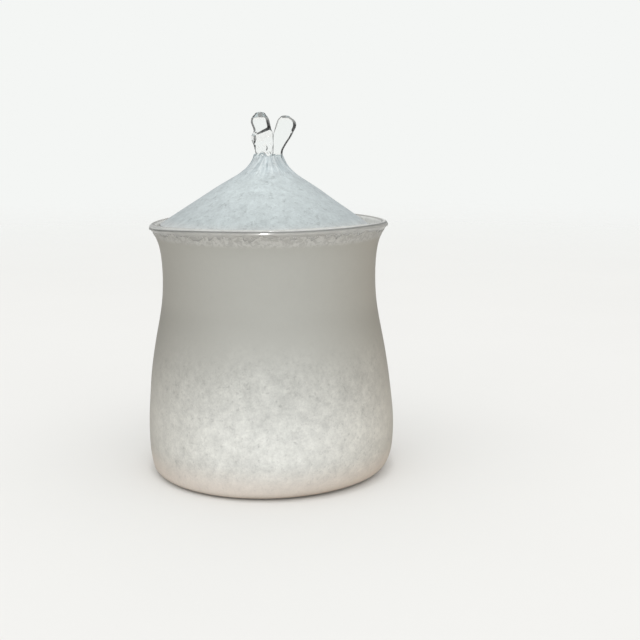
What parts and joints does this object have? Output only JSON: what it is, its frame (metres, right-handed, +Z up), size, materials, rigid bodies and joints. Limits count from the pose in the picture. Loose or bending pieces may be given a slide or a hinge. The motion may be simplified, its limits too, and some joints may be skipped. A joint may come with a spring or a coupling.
{
  "type": "dappen dish",
  "caption": "Small round satin glass jar with a flared clear lip and a loose conical glass lid topped by a knob of two clear pulls, for holding a little liquid or powder.",
  "frame": {"origin": "centre of the foot ring, on the table plane", "axes": "+Z up along the jar's axis; +X to the right when seen from the front, the side of the leaf-shaped pull of the knob; -Y to the front"},
  "size_m": [0.065, 0.065, 0.0931],
  "materials": {
    "satin_white_glass": "satin white translucent, fine white mottling, denser towards the foot",
    "pale_blue_glass": "soft satin, pale grey-blue, fine granular mottling drawn into streaks near the top",
    "clear_glass": "clear, fire-polished"
  },
  "bodies": {
    "jar": {"jar_white_overlay": "satin_white_glass", "jar_inner_glass": "clear_glass", "jar_lip": "clear_glass"},
    "lid": {"lid_blue_overlay": "pale_blue_glass", "lid_inner_glass": "clear_glass", "knob_bud": "clear_glass", "knob_leaf": "clear_glass"}
  },
  "joints": [
    {"name": "lid_lift", "type": "slide", "parent": "jar", "child": "lid", "axis": [0, 0, 1], "range_m": [0, 0.045]}
  ]
}
